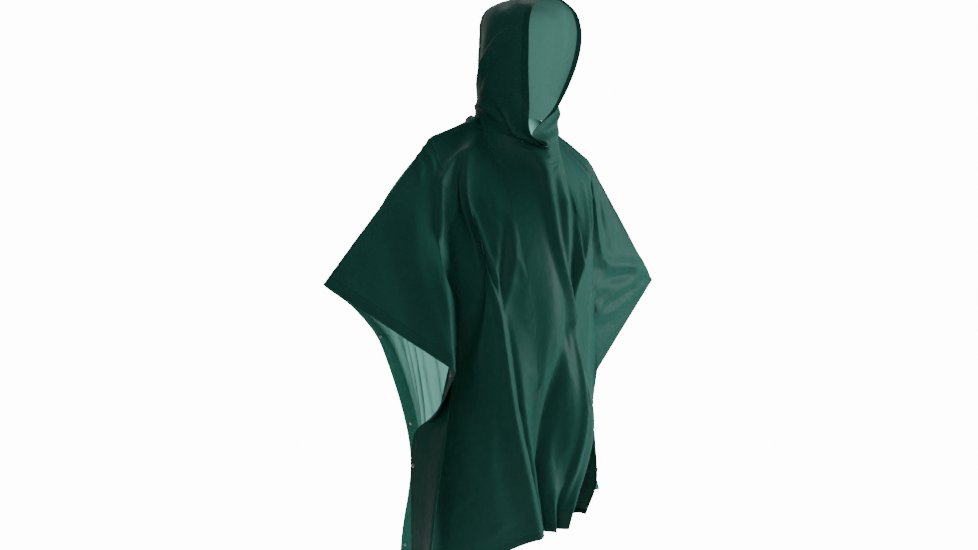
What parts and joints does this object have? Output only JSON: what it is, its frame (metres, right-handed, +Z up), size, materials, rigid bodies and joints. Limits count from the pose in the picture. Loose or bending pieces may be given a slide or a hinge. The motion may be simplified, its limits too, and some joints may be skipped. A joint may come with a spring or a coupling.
{
  "type": "rain poncho",
  "caption": "Hooded vinyl rain poncho as worn: one draped sheet open at the sides, with a pieced hood, turned hems and snap fasteners.",
  "frame": {"origin": "between the shoulders, where the sheet crosses them", "axes": "+Z up, the wearer faces -Y, the wearer's left arm is toward +X"},
  "size_m": [1.1018, 0.4985, 1.4003],
  "materials": {
    "vinyl": "satin",
    "vinyl_double": "satin",
    "snap": "satin"
  },
  "bodies": {
    "root": {"front": "vinyl", "back": "vinyl", "hood_right": "vinyl", "hood_left": "vinyl", "hem_front_right": "vinyl_double", "hem_front_left": "vinyl_double", "hem_front_bottom": "vinyl_double", "hem_back_right": "vinyl_double", "hem_back_left": "vinyl_double", "hem_back_bottom": "vinyl_double", "hood_casing_right": "vinyl_double", "hood_casing_left": "vinyl_double", "snap_front_right_1_cap": "snap", "snap_front_right_1_ring": "snap", "snap_front_right_2_cap": "snap", "snap_front_right_2_ring": "snap", "snap_front_right_3_cap": "snap", "snap_front_right_3_ring": "snap", "snap_front_left_1_cap": "snap", "snap_front_left_1_ring": "snap", "snap_front_left_2_cap": "snap", "snap_front_left_2_ring": "snap", "snap_front_left_3_cap": "snap", "snap_front_left_3_ring": "snap", "snap_back_right_1_cap": "snap", "snap_back_right_1_ring": "snap", "snap_back_right_2_cap": "snap", "snap_back_right_2_ring": "snap", "snap_back_right_3_cap": "snap", "snap_back_right_3_ring": "snap", "snap_back_left_1_cap": "snap", "snap_back_left_1_ring": "snap", "snap_back_left_2_cap": "snap", "snap_back_left_2_ring": "snap", "snap_back_left_3_cap": "snap", "snap_back_left_3_ring": "snap", "snap_neck_cap": "snap"}
  },
  "joints": []
}
